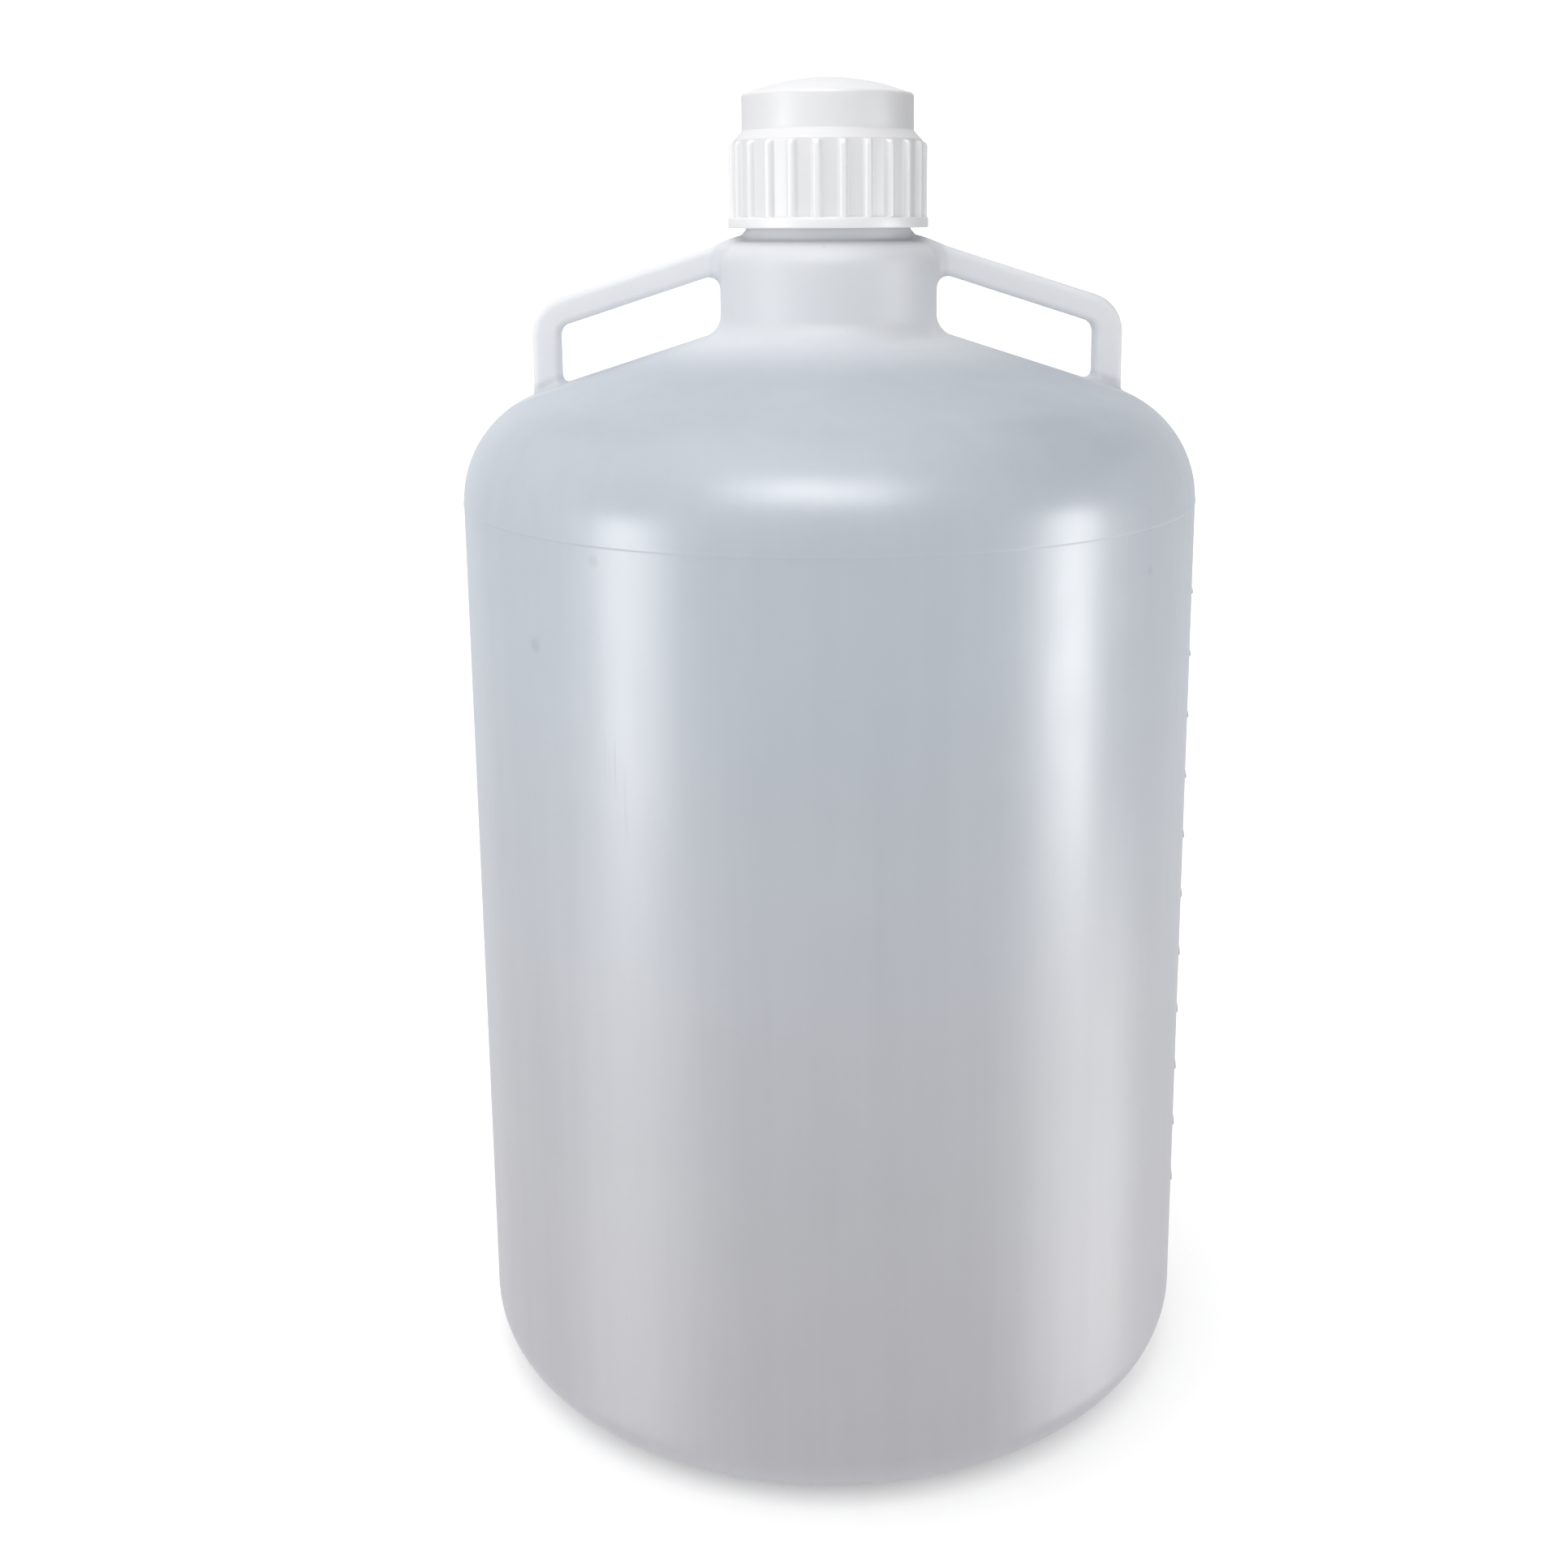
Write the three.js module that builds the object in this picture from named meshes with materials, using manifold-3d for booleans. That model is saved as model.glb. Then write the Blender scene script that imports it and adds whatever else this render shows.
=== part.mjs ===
// Large lab carboy: a hollow plastic bottle with a screw closure and two loop handles.
// Millimetres, +Z up. The origin is the middle of the ring that the bottle stands on.
// The handles lie in the XZ plane. A closure that is screwed home is drawn.
import * as THREE from 'three';
import { mergeVertices } from 'three/addons/utils/BufferGeometryUtils.js';
import Module from 'manifold-3d';

const GAP = 0.3; // clearance that keeps neighbouring solids apart

// Bottle, outer sizes
const BODY_RADIUS = 189;
const WALL = 3.8;
const BASE_CORNER = 25; // radius between base and wall
const PUSH_UP = { height: 8, flatRadius: 92, footRadius: 114 }; // raised middle of the base
const WALL_TOP = 460; // mould line, where the shoulder starts
const SHOULDER_RADIUS = 56;
const CONE_SLOPE = THREE.MathUtils.degToRad(18);
const NECK_RADIUS = 55.8;
const NECK_FILLET = 12;
const NECK_TOP = 590;
const NECK_ROUND = 12;
const BORE_RADIUS = 36;

// Threaded mouth
const COLLAR = { radius: 42, height: 2.2 };
const MOUTH_RADIUS = 40.6;
const LIP_TOP = 656.6;
const LIP_EDGE = 1.2;

// Screw thread shared by mouth and closure
const THREAD = { lead: 8, depth: 2.8, rootHalf: 2.6, crestHalf: 1.2, buried: 0.6, fade: 0.12 };
const MOUTH_THREAD = { start: 602, turns: 2.5 };
const CLOSURE_THREAD = { start: 606, turns: 1.75 };

// Closure
const CLOSURE_BASE = 596.3;
const CLOSURE_TOP = 670.7;
const FLANGE = { radius: 51.1, height: 5.2, edge: 0.6 };
const SKIRT_RADIUS = 48;
const SKIRT_TOP = 639.6;
const SKIRT_BORE = 44.2;
const TIER_RADIUS = 43.65;
const TIER_BASE = 644.3;
const TIER_EDGE = 2.4; // rounding between the upper tier and the dome
const TIER_BORE = 41.3;
const DOME_RISE = 7.8;
const CLOSURE_WALL = 2.8;
const RIB = { count: 24, radius: 50.5, halfWidth: 2.3, top: 639.2, phase: 6, root: 47 };
// how a rib rounds off across its width, and how its top slopes back into the skirt
const RIB_ROUNDING = { drop: 0.7, shoulder: 0.65, crown: 0.3 };
const RIB_TOP = { slopeStart: 3.4, knee: 1.3, kneeHeight: 1 };
const SKIRT_MOUTH = { widen: 1, height: 1.4 }; // lead-in at the foot of the skirt
const SEAT = { land: 1, chamfer: 1.4 }; // flat that presses on the gasket, inside its bore

// Sealing ring under the closure's top
const GASKET = { inner: 34, outer: 40.7, thickness: 3, edge: 0.5 };

// Loop handles: side outline in the XZ plane, as straight runs joined by round corners
const HANDLE = {
  depth: 16, edge: 4,
  topAt100: 574.3, topSlope: 0.322, windowAt100: 559.3, windowSlope: 0.314,
  legOuter: 152.2, legInner: 138.3, outerCorner: 20, innerCorner: 8,
  insideNeck: 38, insideShoulder: 480,
};

const ROUND = 48; // facets in a full turn

const wasm = await Module();
wasm.setup();

// ---------- helpers ----------

function arc(cx, cz, radius, fromDegrees, toDegrees, steps) {
  return Array.from({ length: steps + 1 }, (_, i) => {
    const a = THREE.MathUtils.degToRad(fromDegrees + ((toDegrees - fromDegrees) * i) / steps);
    return new THREE.Vector2(cx + radius * Math.cos(a), cz + radius * Math.sin(a));
  });
}

const at = (r, z) => new THREE.Vector2(r, z);

// A closed three.js geometry as a manifold solid, with its doubled vertices merged.
function toSolid(geometry) {
  const bare = geometry.clone();
  bare.deleteAttribute('normal');
  bare.deleteAttribute('uv');
  const merged = mergeVertices(bare, 1e-4);
  const index = merged.index.array;
  const triangles = [];
  for (let i = 0; i < index.length; i += 3) {
    const [a, b, c] = [index[i], index[i + 1], index[i + 2]];
    if (a !== b && b !== c && c !== a) triangles.push(a, b, c);
  }
  const mesh = (order) => new wasm.Mesh({
    numProp: 3,
    vertProperties: new Float32Array(merged.attributes.position.array),
    triVerts: new Uint32Array(order),
  });
  const solid = new wasm.Manifold(mesh(triangles));
  return solid.volume() > 0 ? solid : new wasm.Manifold(mesh(triangles.reverse()));
}

function toGeometry(solid) {
  const mesh = solid.getMesh();
  const geometry = new THREE.BufferGeometry();
  geometry.setAttribute('position', new THREE.BufferAttribute(mesh.vertProperties, 3));
  geometry.setIndex(new THREE.BufferAttribute(mesh.triVerts, 1));
  geometry.computeVertexNormals();
  return geometry;
}

// Turns an outline of (radius, height) points about the Z axis.
function revolve(outline) {
  return toSolid(new THREE.LatheGeometry(outline, ROUND).rotateX(Math.PI / 2));
}

const ring = (outline) => revolve([...outline, outline[0].clone()]);

// ---------- bottle ----------

// The bottle's outline from the foot to the top of the neck, moved outwards by grow.
function bottleOutline(grow) {
  const shoulderX = BODY_RADIUS - SHOULDER_RADIUS;
  const turn = 90 - THREE.MathUtils.radToDeg(CONE_SLOPE);
  const convex = SHOULDER_RADIUS + grow;
  const filletX = NECK_RADIUS + NECK_FILLET;
  // height of the cone's outer line, and of the fillet centre that touches it
  const coneEnd = arc(shoulderX, WALL_TOP, SHOULDER_RADIUS, turn, turn, 1)[0];
  const coneZ = coneEnd.y + (coneEnd.x - filletX) * Math.tan(CONE_SLOPE);
  const filletZ = coneZ + NECK_FILLET / Math.cos(CONE_SLOPE);
  const roundX = NECK_RADIUS - NECK_ROUND;
  const corner = BODY_RADIUS - BASE_CORNER;
  return [
    ...arc(corner, BASE_CORNER, BASE_CORNER + grow, -90, 0, 5),
    ...arc(shoulderX, WALL_TOP, convex, 0, turn, 8),
    ...arc(filletX, filletZ, NECK_FILLET - grow, 180 + turn, 180, 4),
    ...arc(roundX, NECK_TOP - NECK_ROUND, NECK_ROUND + grow, 0, 90, 4),
  ];
}

function bottleBody() {
  const { height, flatRadius, footRadius } = PUSH_UP;
  const base = (lift) => [at(0, height + lift), at(flatRadius, height + lift), at(footRadius, lift)];
  const outer = [...base(0), ...bottleOutline(0), at(BORE_RADIUS, NECK_TOP)];
  const inner = [...base(WALL), ...bottleOutline(-WALL), at(BORE_RADIUS, NECK_TOP - WALL)];
  return revolve([...outer, ...inner.reverse()]);
}

// ---------- thread ----------

// A helix whose section stays square to the axis, and sinks into the wall at both ends.
class ThreadCurve extends THREE.Curve {
  constructor(radius, sink, start, turns, startAngle) {
    super();
    Object.assign(this, { radius, sink, start, turns, startAngle });
  }

  getPoint(t) {
    const run = Math.min(t, 1 - t) / THREAD.fade;
    const radius = this.radius + this.sink * (1 - THREE.MathUtils.smoothstep(run, 0, 1));
    const angle = this.startAngle + t * this.turns * 2 * Math.PI;
    return new THREE.Vector3(radius * Math.cos(angle), radius * Math.sin(angle),
      this.start + t * this.turns * THREAD.lead);
  }

  getPointAt(t) {
    return this.getPoint(t);
  }

  computeFrenetFrames(segments) {
    const frames = { tangents: [], normals: [], binormals: [] };
    for (let i = 0; i <= segments; i += 1) {
      const angle = this.startAngle + (i / segments) * this.turns * 2 * Math.PI;
      frames.normals.push(new THREE.Vector3(Math.cos(angle), Math.sin(angle), 0));
      frames.binormals.push(new THREE.Vector3(0, 0, 1));
      frames.tangents.push(new THREE.Vector3(-Math.sin(angle), Math.cos(angle), 0));
    }
    return frames;
  }
}

// One thread ridge. Side 1 stands out of a shaft of this radius, side -1 into a bore.
function threadRidge(radius, side, { start, turns }, startAngle) {
  const { depth, rootHalf, crestHalf, buried } = THREAD;
  const section = new THREE.Shape([
    at(-side * buried, -rootHalf), at(side * depth, -crestHalf),
    at(side * depth, crestHalf), at(-side * buried, rootHalf),
  ]);
  const extrudePath = new ThreadCurve(radius, -side * depth, start, turns, startAngle);
  const steps = Math.round(turns * 32);
  return toSolid(new THREE.ExtrudeGeometry(section, { steps, extrudePath }));
}

function neckFinish() {
  const foot = NECK_TOP + GAP;
  const collarTop = foot + COLLAR.height;
  const step = COLLAR.radius - MOUTH_RADIUS;
  const tube = ring([
    at(BORE_RADIUS, foot), at(COLLAR.radius, foot), at(COLLAR.radius, collarTop),
    at(MOUTH_RADIUS, collarTop + step), at(MOUTH_RADIUS, LIP_TOP - LIP_EDGE),
    at(MOUTH_RADIUS - LIP_EDGE, LIP_TOP), at(BORE_RADIUS + LIP_EDGE, LIP_TOP),
    at(BORE_RADIUS, LIP_TOP - LIP_EDGE),
  ]);
  return tube.add(threadRidge(MOUTH_RADIUS, 1, MOUTH_THREAD, 0));
}

// ---------- handles ----------

// The handle's side outline on the +X side: top run, outer corner, leg, window corner.
function handleShape() {
  const h = HANDLE;
  const top = (x) => h.topAt100 + (100 - x) * h.topSlope;
  const window = (x) => h.windowAt100 + (100 - x) * h.windowSlope;
  const shape = new THREE.Shape();
  // centre of a round corner between a sloping run and an upright one, and where it meets the run
  const corner = (x, line, slope, radius) => {
    const upright = Math.PI / 2 - Math.atan(slope);
    return { x: x - radius, z: line(x) - radius * Math.tan(upright / 2), radius, upright };
  };
  const outer = corner(h.legOuter, top, h.topSlope, h.outerCorner);
  const inner = corner(h.legInner, window, h.windowSlope, h.innerCorner);
  shape.moveTo(h.insideNeck, top(h.insideNeck));
  shape.absarc(outer.x, outer.z, outer.radius, outer.upright, 0, true);
  shape.lineTo(h.legOuter, h.insideShoulder);
  shape.lineTo(h.legInner, h.insideShoulder);
  shape.absarc(inner.x, inner.z, inner.radius, 0, inner.upright, false);
  shape.lineTo(h.insideNeck, window(h.insideNeck));
  return shape;
}

// Side is 1 for the handle on +X and -1 for the one on -X.
function handle(side) {
  const { depth, edge } = HANDLE;
  const bar = new THREE.ExtrudeGeometry(handleShape(), {
    depth: depth - 2 * edge, curveSegments: 6,
    bevelThickness: edge, bevelSize: edge, bevelOffset: -edge, bevelSegments: 3,
  });
  bar.translate(0, 0, edge - depth / 2).rotateX(Math.PI / 2);
  if (side < 0) bar.rotateZ(Math.PI);
  // the bottle's outside with the clearance added, closed over the mouth
  const above = CLOSURE_TOP;
  const bottle = revolve([
    at(0, GAP), ...bottleOutline(GAP), at(COLLAR.radius + GAP, NECK_TOP + GAP),
    at(COLLAR.radius + GAP, above), at(0, above),
  ]);
  return toSolid(bar).subtract(bottle);
}

// ---------- closure ----------

function domeArc(apex, radius, outTo, steps) {
  return Array.from({ length: steps + 1 }, (_, i) => {
    const r = (outTo * i) / steps;
    return at(r, apex - radius + Math.sqrt(radius * radius - r * r));
  });
}

function ribs() {
  const { count, radius, halfWidth, top, phase, root } = RIB;
  const { drop, shoulder, crown } = RIB_ROUNDING;
  const flank = [
    at(root, halfWidth), at(radius - drop, shoulder * halfWidth), at(radius, crown * halfWidth),
  ];
  const section = new THREE.Shape([
    ...flank.map(({ x, y }) => at(x, -y)), ...flank.reverse(),
  ]);
  const foot = CLOSURE_BASE + FLANGE.height / 2;
  const prism = new THREE.ExtrudeGeometry(section, { depth: top - foot, bevelEnabled: false });
  prism.translate(0, 0, foot);
  let all = null;
  for (let i = 0; i < count; i += 1) {
    const angle = THREE.MathUtils.degToRad(phase + (360 / count) * i);
    const rib = toSolid(prism.clone().rotateZ(angle));
    all = all ? all.add(rib) : rib;
  }
  // the ribs' tops slope back into the skirt
  const envelope = ring([
    at(root - 1, foot), at(radius + 1, foot), at(radius + 1, top - RIB_TOP.slopeStart),
    at(radius - RIB_TOP.knee, top - RIB_TOP.kneeHeight), at(root, top), at(root - 1, top),
  ]);
  return all.intersect(envelope);
}

function closureCap() {
  const edgeRadius = TIER_RADIUS - TIER_EDGE;
  const domeRadius = (edgeRadius ** 2 + DOME_RISE ** 2) / (2 * DOME_RISE);
  const seat = LIP_TOP + GASKET.thickness + 2 * GAP;
  const flangeTop = CLOSURE_BASE + FLANGE.height;
  const land = GASKET.inner - SEAT.land;
  const well = land - SEAT.chamfer - SEAT.land; // radius of the hollow over the gasket's bore
  const outer = [
    ...domeArc(CLOSURE_TOP, domeRadius, edgeRadius, 5),
    ...arc(edgeRadius, CLOSURE_TOP - DOME_RISE - TIER_EDGE, TIER_EDGE, 60, 0, 2),
    at(TIER_RADIUS, TIER_BASE), at(SKIRT_RADIUS, SKIRT_TOP),
    at(SKIRT_RADIUS, flangeTop + FLANGE.edge), at(FLANGE.radius - FLANGE.edge, flangeTop),
    at(FLANGE.radius, flangeTop - FLANGE.edge), at(FLANGE.radius, CLOSURE_BASE + FLANGE.edge),
    at(FLANGE.radius - FLANGE.edge, CLOSURE_BASE),
  ];
  const inner = [
    at(SKIRT_BORE + SKIRT_MOUTH.widen, CLOSURE_BASE),
    at(SKIRT_BORE, CLOSURE_BASE + SKIRT_MOUTH.height),
    at(SKIRT_BORE, SKIRT_TOP), at(TIER_BORE, TIER_BASE - 1), at(TIER_BORE, seat),
    at(land, seat), at(land - SEAT.chamfer, seat + SEAT.chamfer),
    ...domeArc(CLOSURE_TOP - CLOSURE_WALL, domeRadius - CLOSURE_WALL, well, 3).reverse(),
  ];
  const start = (CLOSURE_THREAD.start - MOUTH_THREAD.start) / THREAD.lead; // turns up the helix
  const angle = (start - 0.5) * 2 * Math.PI; // half a lead away from the mouth's ridge
  return revolve([...outer, ...inner])
    .add(ribs())
    .add(threadRidge(SKIRT_BORE, -1, CLOSURE_THREAD, angle));
}

function gasket() {
  const { inner, outer, thickness, edge } = GASKET;
  const low = LIP_TOP + GAP;
  const high = low + thickness;
  return ring([
    at(inner, low), at(outer - edge, low), at(outer, low + edge), at(outer, high - edge),
    at(outer - edge, high), at(inner, high),
  ]);
}

// ---------- assembly ----------

const NATURAL_PLASTIC = {
  color: 0xdfe2e8, roughness: 0.38, metalness: 0, transparent: true, opacity: 0.85,
};
const WHITE_PLASTIC = { color: 0xf6f6f6, roughness: 0.35, metalness: 0 };
const SOFT_SEAL = { color: 0xd8d6cf, roughness: 0.75, metalness: 0 };

const carboy = new THREE.Group();
carboy.name = 'carboy';

function place(name, solid, finish) {
  const mesh = new THREE.Mesh(toGeometry(solid), new THREE.MeshStandardMaterial(finish));
  mesh.name = name;
  carboy.add(mesh);
}

place('bottle_body', bottleBody(), NATURAL_PLASTIC);
place('neck_finish', neckFinish(), NATURAL_PLASTIC);
place('handle_right', handle(1), NATURAL_PLASTIC);
place('handle_left', handle(-1), NATURAL_PLASTIC);
place('closure_cap', closureCap(), WHITE_PLASTIC);
place('closure_gasket', gasket(), SOFT_SEAL);

export default carboy;
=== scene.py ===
import math

import bmesh
import bpy
import numpy as np
from mathutils import Matrix, Vector
from mathutils.geometry import delaunay_2d_cdt


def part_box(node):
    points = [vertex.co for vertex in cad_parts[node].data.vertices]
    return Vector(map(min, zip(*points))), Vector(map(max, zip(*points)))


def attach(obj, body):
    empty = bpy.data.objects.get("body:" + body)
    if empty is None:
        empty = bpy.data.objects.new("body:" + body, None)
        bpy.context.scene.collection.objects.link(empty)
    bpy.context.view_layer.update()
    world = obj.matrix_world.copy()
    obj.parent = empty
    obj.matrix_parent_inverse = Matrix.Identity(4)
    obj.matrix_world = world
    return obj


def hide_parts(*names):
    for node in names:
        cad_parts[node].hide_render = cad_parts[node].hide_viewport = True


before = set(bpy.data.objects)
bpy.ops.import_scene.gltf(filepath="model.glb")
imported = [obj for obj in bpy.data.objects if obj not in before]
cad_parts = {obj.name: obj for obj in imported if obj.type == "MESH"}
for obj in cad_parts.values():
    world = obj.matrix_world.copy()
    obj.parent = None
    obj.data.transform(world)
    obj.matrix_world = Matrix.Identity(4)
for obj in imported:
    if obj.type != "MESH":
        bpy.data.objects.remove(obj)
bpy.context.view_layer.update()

MM = 0.001

# ------------------------------------------------------------------ sizes, in millimetres

LOW = {n: np.array(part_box(n)[0]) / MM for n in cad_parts}
HIGH = {n: np.array(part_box(n)[1]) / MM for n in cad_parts}

BODY_RADIUS = HIGH["bottle_body"][0]
NECK_TOP = HIGH["bottle_body"][2]
LIP_TOP = HIGH["neck_finish"][2]
CLOSURE_BASE, CLOSURE_TOP = LOW["closure_cap"][2], HIGH["closure_cap"][2]
FLANGE_RADIUS = HIGH["closure_cap"][0]
LEG_OUTER, HANDLE_HALF_DEPTH = HIGH["handle_right"][0], HIGH["handle_right"][1]
GASKET_LOW, GASKET_HIGH = LOW["closure_gasket"][2], HIGH["closure_gasket"][2]
GASKET_OUTER = HIGH["closure_gasket"][0]

WALL = 3.8
BASE_CORNER = 25.0
PUSH_UP, PUSH_FLAT, PUSH_FOOT = 8.0, 92.0, 114.0
WALL_TOP = 460.0
SHOULDER = 56.0
CONE = math.radians(18.0)
NECK_RADIUS, NECK_FILLET, NECK_ROUND = 55.8, 12.0, 12.0
BORE = 36.0
COLLAR, COLLAR_TOP = 42.0, NECK_TOP + 8.0
MOUTH, LIP_EDGE = 40.6, 1.2
PARTING_HEIGHT, PARTING_HALF = 0.3, 0.6         # the mould's ring line round the top of the wall

HANDLE_HALF = 7.05                              # half the bar's thickness
HANDLE_EDGE = 3.2                               # rounding of the bar's four edges
HANDLE_TOP_AT_100, HANDLE_SLOPE = 574.3, math.radians(17.85)  # its top line, 100 from the axis
HANDLE_BEND = 13.5                              # of its middle line
HANDLE_END = 38.0                               # how near to the axis its middle line comes
FOOT_OUTSIDE, FOOT_INSIDE = 1.5, 5.0            # fillets between the bar's foot and the shoulder
ROOT_FILLET, COLLAR_FILLET = 8.0, 5.0           # fillets at the neck and at the collar
LEAST_FILLET = 0.8                              # where the fillet has run out, up the collar

THREAD_LEAD, THREAD_DEPTH, THREAD_ROOT, THREAD_CREST, THREAD_SUNK = 8.0, 2.8, 2.6, 1.2, 0.5
THREAD_FADE = 0.14                              # turns over which each end sinks into the wall
THREAD_SOFT_OUT, THREAD_SOFT_IN, THREAD_SOFT_DOWN = 0.35, 0.25, 0.4  # flat that breaks its edges
MOUTH_THREAD_START, MOUTH_THREAD_TURNS = 602.0, 2.5
CLOSURE_THREAD_START, CLOSURE_THREAD_TURNS = 606.0, 1.75

SKIRT, SKIRT_TOP, SKIRT_BORE = 48.0, 639.6, 44.2
TIER, TIER_BASE, TIER_EDGE, TIER_BORE = 43.65, 644.3, 2.4, 41.3
FLANGE_HEIGHT, DOME_RISE, CLOSURE_WALL = 5.2, 7.8, 2.8
SEAT_GAP, SEAT_LAND, SEAT_CHAMFER = 0.3, 1.0, 1.4  # the flat over the gasket, inside its bore
SKIRT_LEAD_IN = (1.0, 1.4)                      # how the bore widens at the skirt's foot
RIBS, RIB_PHASE, RIB_HEIGHT, RIB_HALF = 24, math.radians(6.0), 2.5, 2.6
RIB_END, RIB_TOP_GAP = 3.0, 0.5                 # the round at a rib's top, and its gap to the chamfer
GASKET_INNER, GASKET_EDGE = 34.0, 0.6
BEAD_DEPTH, BEAD_WAVES = 0.18, 1.25             # sealing beads: half height and waves across a half

MARK_FIRST, MARK_LAST, MARK_STEP = 81.5, 440.0, 33.0  # raised volume marks up the right-hand side
MARK_ANGLE, MARK_WIDTH, MARK_TALL, MARK_HEIGHT = math.radians(-11.0), 13.0, 2.2, 0.75
MARK_SUNK = 0.3

COLUMNS, GASKET_COLUMNS, THREAD_COLUMNS = 240, 144, 72  # steps in a full turn
WINDOW = 21                                     # columns each side of a handle that its patch takes
WINDOW_START = 8                                # rows of the shoulder below that window
PATCH_STEP = 1.6                                # grid on which a handle's skin is found
PATCH_NEAR, PATCH_HALF_WIDTH, PATCH_LOW = 33.0, 27.2, 482.0  # its box: towards the axis, aside, below
TAU = 2 * math.pi


# ------------------------------------------------------------------ outlines

def smooth(x, low, high):
    """0 below low, 1 above high and a cubic ease in between."""
    t = np.clip((np.asarray(x, float) - low) / (high - low), 0, 1)
    return t * t * (3 - 2 * t)


def run(start, end, steps):
    """Evenly spaced points from start up to, and without, end."""
    t = np.arange(steps)[:, None] / steps
    return np.array(start) * (1 - t) + np.array(end) * t


def arc(centre, radius, first, last, steps):
    """Points on a circle from angle first up to, and without, angle last, in degrees."""
    a = np.radians(first + (last - first) * np.arange(steps) / steps)
    return np.stack([centre[0] + radius * np.cos(a), centre[1] + radius * np.sin(a)], -1)


def swell(start, end, steps):
    """Points from start to end along a cubic ease, level at both ends."""
    t = np.arange(steps) / steps
    rise = smooth(t, 0, 1)
    return np.stack([start[0] + (end[0] - start[0]) * t, start[1] + (end[1] - start[1]) * rise], -1)


class Side:
    """The bottle's outline moved outwards by grow: corner arc, straight wall, shoulder arc, sloping
    cone, hollow fillet, neck and rounded neck top."""

    def __init__(self, grow, fine=1):
        turn = 90 - math.degrees(CONE)
        shoulder = (BODY_RADIUS - SHOULDER, WALL_TOP)
        fillet_x = NECK_RADIUS + NECK_FILLET
        end = np.array(shoulder) + SHOULDER * np.array([math.sin(CONE), math.cos(CONE)])
        # the fillet's circle touches the cone's line and the neck's line
        fillet_z = end[1] + (end[0] - fillet_x) * math.tan(CONE) + NECK_FILLET / math.cos(CONE)
        top = (NECK_RADIUS - NECK_ROUND, NECK_TOP - NECK_ROUND)
        out = BODY_RADIUS + grow
        near = 3 * PARTING_HALF
        cone_start = end + grow * np.array([math.sin(CONE), math.cos(CONE)])
        hollow = arc((fillet_x, fillet_z), NECK_FILLET - grow, 180 + turn, 180, 9 * fine)
        self.corner = arc((BODY_RADIUS - BASE_CORNER, BASE_CORNER), BASE_CORNER + grow, -90, 0, 14 * fine)
        self.wall = run((out, BASE_CORNER), (out, WALL_TOP - near), 26 * fine)
        self.ring = run((out, WALL_TOP - near), (out, WALL_TOP), 8)
        self.shoulder = arc(shoulder, SHOULDER + grow, 0, turn, 30 * fine)
        self.cone = run(cone_start, hollow[0], 26 * fine)
        self.hollow = hollow
        self.neck = run((NECK_RADIUS + grow, fillet_z), (NECK_RADIUS + grow, top[1]), 6 * fine)
        self.round = arc(top, NECK_ROUND + grow, 0, 90, 10 * fine)
        self.top = np.array([[top[0], NECK_TOP + grow]])


def rounded(corners, radii, steps=4):
    """A line of corners in which corner i is replaced by an arc of radii[i] that touches both of
    its sides."""
    corners = [np.array(c, float) for c in corners]
    line = [corners[0]]
    for before, here, after, radius in zip(corners, corners[1:], corners[2:], radii):
        u, v = before - here, after - here
        u, v = u / np.hypot(*u), v / np.hypot(*v)
        half = math.acos(np.clip(u @ v, -1, 1)) / 2
        if radius <= 0 or half > 1.55:
            line.append(here)
            continue
        centre = here + (u + v) / np.hypot(*(u + v)) * radius / math.sin(half)
        reach = radius / math.tan(half)
        p, q = here + u * reach - centre, here + v * reach - centre
        sweep = math.pi - 2 * half
        for t in np.linspace(0, 1, steps + 1):
            line.append(centre + (math.sin((1 - t) * sweep) * p + math.sin(t * sweep) * q)
                        / math.sin(sweep))
    return np.array(line + [corners[-1]])


def collar(steps):
    """From the neck's flat top round a small hollow and up the plain collar."""
    edge, hollow = NECK_RADIUS - NECK_ROUND, 1.5
    return np.concatenate([
        rounded([(edge, NECK_TOP), (COLLAR, NECK_TOP), (COLLAR, NECK_TOP + 2)], [hollow],
                steps)[1:-1],
        run((COLLAR, NECK_TOP + hollow + 0.1), (COLLAR, COLLAR_TOP), steps),
        [[COLLAR, COLLAR_TOP]]])


OUTER = Side(0.0)
FINE = Side(0.0, 3)
# the shoulder, cone, neck and collar as one fine line, which the handles' joints are worked out
# against
UPPER = np.concatenate([FINE.shoulder, FINE.cone, FINE.hollow, FINE.neck, FINE.round,
                        FINE.top, collar(6)])


# ------------------------------------------------------------------ meshes from arrays

def sweep_round(outline, angles, closed=True):
    """Carries an outline (radius, height) round the axis: column i stands at angles[i].
    Returns points, and the quads between neighbouring rows and columns."""
    r, z = outline[:, 0][:, None], outline[:, 1][:, None]
    points = np.stack([r * np.cos(angles), r * np.sin(angles), z + 0 * angles], -1).reshape(-1, 3)
    return points, grid_quads(len(outline), len(angles), closed)


def grid_quads(rows, columns, closed, keep=None):
    """Quads of a rows-by-columns grid whose columns run anticlockwise and rows run upwards on an
    outward face. keep, if given, is a mask of the cells to make."""
    i, j = np.meshgrid(np.arange(rows - 1), np.arange(columns if closed else columns - 1),
                       indexing="ij")
    if keep is not None:
        i, j = i[keep], j[keep]
    i, j = i.ravel(), j.ravel()
    k = (j + 1) % columns
    return np.stack([i * columns + j, i * columns + k, (i + 1) * columns + k,
                     (i + 1) * columns + j], -1)


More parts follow.
